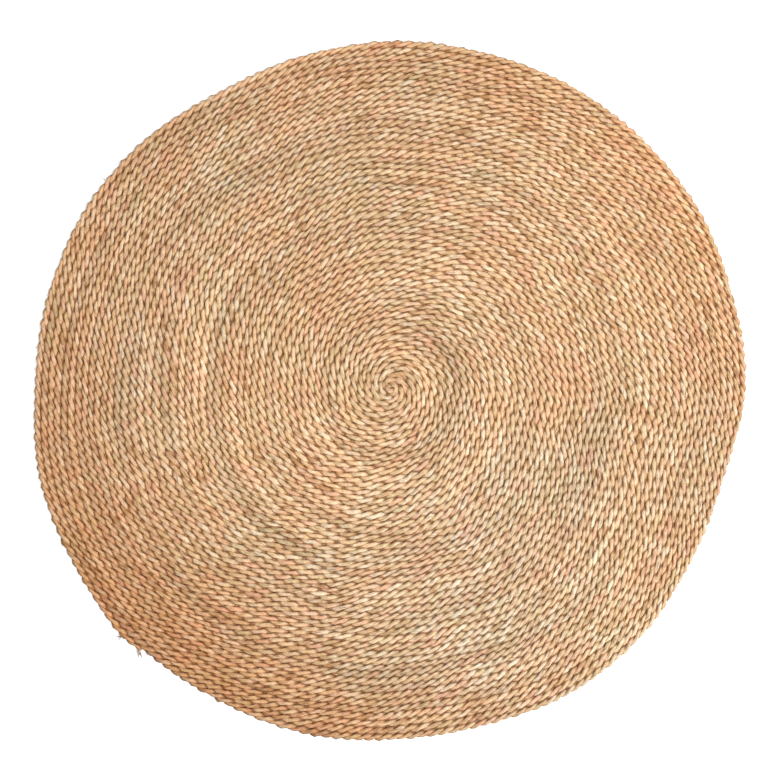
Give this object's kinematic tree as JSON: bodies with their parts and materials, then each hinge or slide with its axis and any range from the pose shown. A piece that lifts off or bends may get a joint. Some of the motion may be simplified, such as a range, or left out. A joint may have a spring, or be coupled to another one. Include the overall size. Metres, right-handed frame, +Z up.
{
  "type": "round reed rug",
  "caption": "Flat round floor rug: one two-ply reed rope coiled in an even spiral and stitched turn to turn, with a slightly uneven rim.",
  "frame": {"origin": "on the underside, in the middle of the rug's width and depth", "axes": "+Z up through the thickness, +Y towards the top edge of the rug as seen from above, +X to its right"},
  "size_m": [1.2108, 1.1902, 0.01],
  "materials": {
    "reed_rope": "matt, dry twisted plant fibre, warm straw with paler and browner strands"
  },
  "bodies": {
    "root": {"rug": "reed_rope"}
  },
  "joints": []
}
